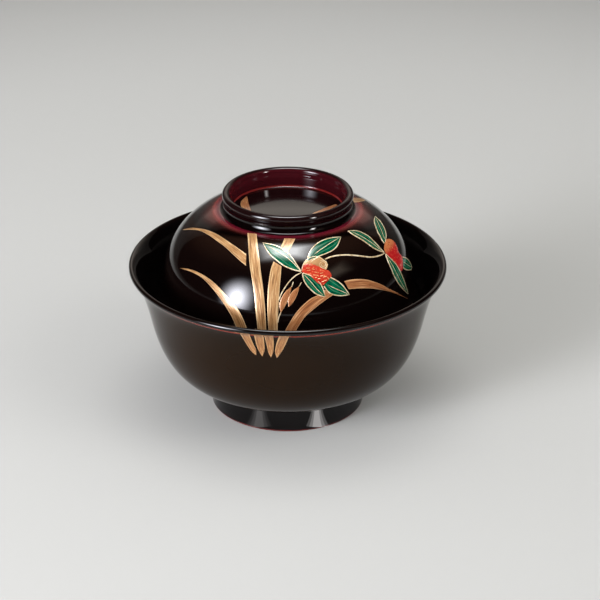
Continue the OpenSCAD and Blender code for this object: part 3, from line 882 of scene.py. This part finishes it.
# Petals by their left and right edges and their rib, each from the flower's middle to the tip
PETALS = {
    "front_left": (
        [(301, 271.5), (293.4, 269.7), (284.7, 266.1), (277.1, 260.7), (270.6, 255.2), (266.3, 249.3),
         (263, 243.2)],
        [(301, 271.2), (296.6, 264.5), (291.7, 257.4), (284.7, 250.4), (274.9, 245.5), (263, 243)],
        [(300, 270.5), (291, 261), (280.5, 253.5), (268, 246)]),
    "front_up": (
        [(307.3, 260.5), (309.1, 253.6), (312.9, 247.6), (318.3, 242.8), (325.9, 239.3),
         (333.5, 237.7), (340.8, 237.1)],
        [(311.5, 261.5), (319.4, 256.2), (325.9, 253.6), (332.4, 250.4), (336.7, 246.6),
         (338.9, 242.2), (340.9, 237.2)],
        [(314, 254.5), (321, 249.5), (330, 243.5), (339, 238)]),
    "front_low": (
        [(302.6, 273.2), (303.1, 277.5), (305.3, 282.9), (309.6, 288.3), (315.1, 293.2),
         (320.5, 295.7), (325.3, 296.8)],
        [(302.8, 273.1), (310.7, 275.8), (316.1, 279.6), (320.5, 284), (323.2, 289.4), (325.3, 296.7)],
        [(304.2, 275), (310.7, 281.8), (316.1, 288.3), (322.6, 294.8)]),
    "front_right": (
        [(330.5, 277.4), (336.7, 280.7), (342.2, 285), (346, 289.9), (349.3, 294.5)],
        [(323.8, 286), (328.1, 291.6), (332.4, 294.3), (338.9, 295.6), (344.3, 295.4), (349.3, 294.6)],
        [(328, 285), (334.6, 288.3), (341.1, 291), (347.8, 294)]),
    "far_left": (
        [(383.7, 252.2), (380.1, 248.4), (376.6, 244.4), (373.2, 241), (369.2, 237), (364.6, 234.1),
         (357, 231), (348, 231)],
        [(383.7, 252.3), (378.4, 250.5), (373.8, 248.2), (369.2, 245), (364.6, 241.6), (359.5, 238.4),
         (353, 234.6), (348, 231.1)],
        [(382, 251.2), (372, 243.5), (362.5, 237.2), (352, 232)]),
    "far_up": (
        [(384.2, 243.3), (382.1, 240.4), (380.1, 236.4), (377.8, 232.4), (376.1, 227.8),
         (374.6, 223.8), (374.2, 220.3), (375, 216.6)],
        [(385, 242), (385.9, 237), (385.7, 233.5), (384.4, 228.9), (382.4, 224.9), (379.8, 220.9),
         (377.2, 218.6), (375.1, 216.6)],
        [(384.2, 239), (381.5, 231.5), (378.4, 224.5), (375.8, 219)]),
    "far_low": (
        [(385.3, 254.2), (387, 258.8), (389, 264), (391.3, 269.1), (393.3, 274.3), (396.2, 280),
         (399.6, 285.2), (403.6, 289.8), (407.7, 293.9)],
        [(385.5, 254.1), (390.4, 258.8), (393.9, 262.2), (396.7, 265.7), (399.6, 270.9), (401.9, 276),
         (404.2, 281.8), (405.9, 286.9), (407.9, 293.8)],
        [(387, 257), (393, 267), (399, 279), (405.5, 290.5)]),
    "far_right": (
        [(402.2, 257.1), (405.9, 258.2), (408.8, 261.1), (410.5, 264), (412.5, 267)],
        [(402.8, 267.4), (404.8, 269.1), (407.6, 270), (410.5, 269.7), (412.4, 267.6)],
        [(403, 262), (406, 264), (409, 266), (411.5, 267.2)]),
}
for name, (left, right, rib) in PETALS.items():
    piece("petal_" + name, "lid", "green_petals", green, *filled(left, right, dome, PETAL_H),
          ["orchid_petals"])
    outline = [traced(left, dome, LINE_W, LINE_H, (1, 0.3)),
               traced(right, dome, LINE_W, LINE_H, (1, 0.3)),
               traced(rib, dome, RIB_W, LINE_H, (0.3, 0.3))]
    piece("petal_gold_" + name, "lid", "gold_lines", cream, *together(outline), ["petal_ribs"])


def lumpy(pitch, depth):
    """Heights of rounded lumps over a flower's lip, a pitch of pixels apart."""
    def heights(pixels):
        x, y = pixels[:, 0] * 2 * math.pi / pitch, pixels[:, 1] * 2 * math.pi / pitch
        return depth * (0.5 + 0.25 * (np.sin(x + 0.7 * y) + np.sin(1.3 * y - 0.6 * x)))
    return heights


FRONT_LIP = [(301.5, 271), (302, 266.6), (305.3, 263.4), (309.6, 262.5), (315.1, 264.5), (320.5, 266.6),
             (324.8, 269.3), (329.1, 271), (331.5, 275.3), (330.2, 279.1), (326.6, 281.8), (323, 285.2),
             (318, 283.8), (314.3, 280.4), (310.7, 276.9), (306.4, 274.2), (303.1, 273.1)]
FAR_LIP = [(384.4, 244.4), (384.1, 249), (385.3, 252.5), (387.6, 255.9), (391, 259.4), (394.4, 263.4),
           (397.9, 267.4), (400.2, 270.8), (402.2, 270.3), (403.1, 266.3), (403.3, 262.2), (402.5, 258.8),
           (401.3, 255.4), (399.6, 253.6), (398.2, 251.3), (397.3, 247.9), (395.6, 243.9), (392.7, 240.4),
           (388.7, 239), (385.8, 239.9)]
FRONT_CAP = [(302.4, 267), (304.2, 262.3), (308.5, 258.5), (314, 256.6), (319.4, 256.9), (323.7, 259.6),
             (327.2, 263.4), (327.4, 267), (324.8, 270.2), (319.4, 268.2), (313, 266.6), (306, 267.6)]
LIP_GRAINS = [
    [(309.6, 265.2), (312, 265.6)], [(306, 268.7), (309.9, 268.2)], [(311.6, 269.2), (314.6, 269.9)],
    [(306.6, 270.9), (310.4, 270.3)], [(314.2, 272.3), (319, 273)], [(319.8, 273.7), (323, 273.1)],
    [(313, 275.2), (318.4, 275.6)], [(322.8, 277.6), (326.4, 276.4)], [(327.2, 277.4), (329, 279.4)],
    [(320.4, 276.6), (323.2, 275.4)], [(324.4, 280.9), (326.8, 279.9)], [(321.6, 282.3), (324, 281.1)],
    [(317.4, 279.2), (320.4, 278.6)], [(314.6, 278), (317, 277.4)]]
CURL_MIDDLE = (322.9, 264.7)
CURL_SQUASH = 0.95
curl_turn = np.linspace(-2.2, 11, 45)
curl_reach = np.linspace(4.7, 1.3, 45)
CAP_CURL = np.stack([CURL_MIDDLE[0] + curl_reach * np.cos(curl_turn),
                     CURL_MIDDLE[1] + CURL_SQUASH * curl_reach * np.sin(curl_turn)], 1)
CAP_EDGE = [(301.8, 270.6), (302.6, 266.4), (304.6, 262), (308.6, 258.4), (314, 256.7), (319.4, 257)]
CAP_FOLD = [(307.4, 262.6), (311, 259.6), (315.4, 258.8), (319.4, 259.4)]
front_red = lip_red("front_lip_red", rgb(146, 28, 20), rgb(156, 44, 28), 72 * MM, 76 * MM)
far_red = lip_red("far_lip_red", rgb(148, 24, 26), rgb(158, 92, 54), 74.6 * MM, 76.9 * MM)
piece("cap_front", "lid", "gold_lines", tan, *patch(FRONT_CAP, dome, CAP_H), ["orchid_cap"])
lumps = lumpy(LUMP_PITCH, LUMP_H)
piece("lip_front", "lid", "red_lips", front_red, *patch(FRONT_LIP, dome, LIP_H, lumps), ["orchid_lips"])
piece("lip_far", "lid", "red_lips", far_red, *patch(FAR_LIP, dome, LIP_H, lumps), ["orchid_lips"])

grains = [traced(grain, dome, GRAIN_W, GRAIN_H, (0.4, 0.4), 8) for grain in LIP_GRAINS]
piece("lip_grains_front", "lid", "gold_lines", ochre, *together(grains), ["orchid_cap"])
cap_lines = [traced(CAP_CURL, dome, 0.2 * MM, 0.3 * MM, (1, 0.5), 72),
             traced(CAP_EDGE, dome, 0.3 * MM, 0.3 * MM, (0.5, 1)),
             traced(CAP_FOLD, dome, 0.2 * MM, 0.28 * MM, (0.4, 0.4))]
piece("cap_curl", "lid", "gold_lines", cream, *together(cap_lines), ["orchid_cap"])

STEMS = {
    "stem_far": (0.6 * MM,
        [(324.8, 259.4), (330.2, 257.1), (336.7, 255.6), (344.3, 255), (351.9, 255.2), (360.6, 256.1),
         (369.3, 257.1), (375.8, 256.6), (381.2, 255), (384.6, 253.1)]),
    "stem_front": (0.42 * MM,
        [(301.6, 272.4), (295.5, 275.8), (290.1, 280.7), (285.2, 287.2), (281.4, 293.7), (278.9, 300.2)]),
}
for name, (width, pixels) in STEMS.items():
    piece(name, "lid", "gold_lines", cream, *traced(pixels, dome, width, LINE_H, (0.6, 0.6)),
          ["orchid_stems"])

# Buds by their two edges, their stalk and, on one, a tail that runs on below it
BUDS = {
    "bud_left": (
        [(291.6, 286.6), (290.1, 287.4), (285.2, 292.1), (281.4, 298.1), (279.6, 304), (280, 310),
         (280.9, 312.4)],
        [(291.6, 286.7), (290.5, 292), (287.9, 300.2), (284.7, 306.7), (281, 312.5)],
        [(293.4, 281.8), (291.6, 286.9)],
        [(280.9, 312.3), (278.6, 318.1), (277.9, 322.5)]),
    "bud_right": (
        [(298.9, 286.3), (297.7, 287.2), (293.4, 290.5), (290.1, 294.8), (288.2, 300.2), (288.2, 306.6)],
        [(298.9, 286.4), (298.9, 288.6), (297.5, 293.7), (294.5, 300.2), (290.3, 305.7), (288.3, 306.7)],
        [(301.6, 282.2), (298.9, 286.7)],
        None),
}
for name, (left, right, stalk, tail) in BUDS.items():
    piece(name, "lid", "copper_buds", copper, *filled(left, right, dome, PETAL_H), ["orchid_buds"])
    strokes = [traced(stalk, dome, 0.3 * MM, LINE_H, (0.4, 1))]
    if tail:
        strokes.append(traced(tail, dome, 0.36 * MM, LINE_H, (1, 0.4)))
    piece(name + "_stalk", "lid", "gold_lines", cream, *together(strokes), ["orchid_stems"])


# Stage. Lights are placed round the middle of the bowl with its lid
MIDDLE = (0, 0, 0.07)
TABLE = (0, 0, 0)


def area_light(name, centre, target, size, power, colour=(1, 1, 1), shape="RECTANGLE"):
    """A flat light that faces its target."""
    light = bpy.data.lights.new(name, "AREA")
    light.shape = shape
    light.size, light.size_y = size
    light.energy = power
    light.color = colour
    made = bpy.data.objects.new(name, light)
    made.location = centre
    bpy.context.scene.collection.objects.link(made)
    way = np.array(target, float) - np.array(centre, float)
    made.rotation_mode = "QUATERNION"
    made.rotation_quaternion = Vector(way).to_track_quat("-Z", "Y")
    return made


def aimed(azimuth, elevation, distance):
    """The place at a distance from the bowl, seen at an azimuth from the front and an elevation."""
    a, e = math.radians(azimuth), math.radians(elevation)
    way = np.array([math.sin(a) * math.cos(e), -math.cos(a) * math.cos(e), math.sin(e)])
    return np.array(MIDDLE) + distance * way


def light_power(radiance, size):
    """Watts of an area light that looks this bright."""
    return radiance * math.pi * size[0] * size[1]


def soft_light(name, centre, target, size, radiance, colour, fade, shape="RECTANGLE",
               lights_paint=True, steps=5, gap=0.004, falloff=2.2):
    """Nested lights, the wider and dimmer ones behind, that look like one fading towards its border."""
    share = math.pi / 4 if shape == "ELLIPSE" else 1
    back = np.array(centre, float) - np.array(target, float)
    back /= np.linalg.norm(back)
    made = []
    for step in range(steps):
        grown = 1 + fade * (2 * step / (steps - 1) - 1)
        wide = (size[0] * grown, size[1] * grown)
        part = ((steps - step) / steps) ** falloff - ((steps - step - 1) / steps) ** falloff
        light = area_light(f"{name}_{step}", centre + (step + 1) * gap * back, target, wide,
                           light_power(radiance * part, wide) * share, colour, shape)
        light.visible_diffuse = lights_paint
        made.append(light)
    return made


def sweep():
    """Pale paper that lies flat under the bowl and rises behind it."""
    half, near, bend, rise, top = 1.6, -1.6, 0.9, 0.6, 1.6
    run = [(near, 0), (bend, 0)]
    turn = np.linspace(0, math.pi / 2, 25)[1:]
    run += [(bend + rise * math.sin(t), rise * (1 - math.cos(t))) for t in turn]
    run.append((bend + rise, top))
    points = [(x, y, z) for y, z in run for x in (-half, half)]
    faces = [(2 * i, 2 * i + 1, 2 * i + 3, 2 * i + 2) for i in range(len(run) - 1)]
    mesh = bpy.data.meshes.new("backdrop")
    mesh.from_pydata(points, [], faces)
    mesh.shade_smooth()
    mesh.materials.append(paper())
    made = bpy.data.objects.new("backdrop", mesh)
    bpy.context.scene.collection.objects.link(made)
    return made


def plain_light(name, centre, target, side, radiance):
    """A square light that no gloss reflects."""
    made = area_light(name, centre, target, (side, side), light_power(radiance, (side, side)))
    made.visible_glossy = False


def kept_to(catcher, lights):
    """Let only one thing catch these lights."""
    caught = bpy.data.collections.new("caught_by_" + catcher.name)
    caught.objects.link(catcher)
    for light in lights:
        light.light_linking.receiver_collection = caught


def foot_glint(name, azimuth, width, radiance, reach=16 * MM, length=30 * MM, lift=0.3 * MM,
               gap=0.05 * MM):
    """Lights lying before the foot, which make a bright stripe down it as a shiny table would."""
    a = math.radians(azimuth)
    at_foot = FOOT_R * np.array([math.sin(a / 2), -math.cos(a / 2), 0])
    middle = at_foot + reach * np.array([math.sin(a), -math.cos(a), 0])
    made = []
    for step, share in enumerate((0.5, 0.3, 0.2)):
        size = (width * (0.6 + 0.45 * step), length)
        centre = middle + [0, 0, lift - gap * step]
        light = area_light(f"{name}_{step}", centre, centre + [0, 0, 1], size,
                           light_power(radiance * share, size), (1, 0.96, 0.95))
        light.rotation_mode = "XYZ"
        light.rotation_euler = (math.pi, 0, a)
        light.visible_diffuse = False
        light.visible_camera = False
        made.append(light)
    return made


backdrop = sweep()
# The overhead box, whose picture lies on the dome under the ring, and a plain light from there
soft_light("overhead", (-0.018, 0.01, 1.07), (-0.018, 0.01, 0), (0.55, 0.42), 19, (0.97, 0.99, 1), 0.55,
           lights_paint=False, steps=9)
plain_light("overhead_plain", (-0.018, 0.05, 1.1), (-0.018, 0.05, 0), 0.6, 4.5)
soft_light("left_front", aimed(-46.5, 12, 1.2), MIDDLE, (0.47, 0.86), 46, (0.9, 0.91, 1), 0.8,
           shape="ELLIPSE", steps=11)
# The card behind, whose picture lies in the ring's well
soft_light("back_card", aimed(180, 27, 1.4), MIDDLE, (1.4, 0.4), 1.05, (1, 0.9, 0.8), 0.7)
plain_light("right_fill", aimed(62, 36, 1.5), MIDDLE, 0.8, 5)
soft_light("right_card", aimed(62, 46, 1.2), MIDDLE, (0.5, 0.26), 0.95, (1, 0.82, 0.64), 0.5)

# Glints on the ring and the foot, and light that reaches the table under the bowl
kept_to(ring, soft_light("ring_glint", aimed(45, 19, 1.2), (0, 0, 0.02), (0.14, 0.4), 50,
                         (1, 0.97, 0.95), 0.6, lights_paint=False, steps=4))
kept_to(foot, foot_glint("foot_glint_left", -43, 8 * MM, 3.3)
        + foot_glint("foot_glint_right", 46, 7 * MM, 14))
kept_to(backdrop, [area_light("table_light", aimed(-50, 22, 1.3), TABLE, (0.5, 0.5),
                              light_power(13, (0.5, 0.5)))])

world = bpy.data.worlds.new("soft_studio")
world.use_nodes = True
world.node_tree.nodes["Background"].inputs["Color"].default_value = (1.0, 1.0, 1.0, 1)
bpy.context.scene.world = world
world.cycles_visibility.glossy = False
bpy.context.scene.view_settings.view_transform = "Standard"

camera = bpy.data.cameras.new("camera")
camera.sensor_width = SENSOR
camera.lens = FOCAL_PX * SENSOR / PICTURE
camera_object = bpy.data.objects.new("camera", camera)
camera_object.matrix_world = Matrix([
    [*row, eye] for row, eye in zip(np.stack([RIGHT, UP, -FORWARD], 1), EYE)] + [[0, 0, 0, 1]])
bpy.context.scene.collection.objects.link(camera_object)
bpy.context.scene.camera = camera_object
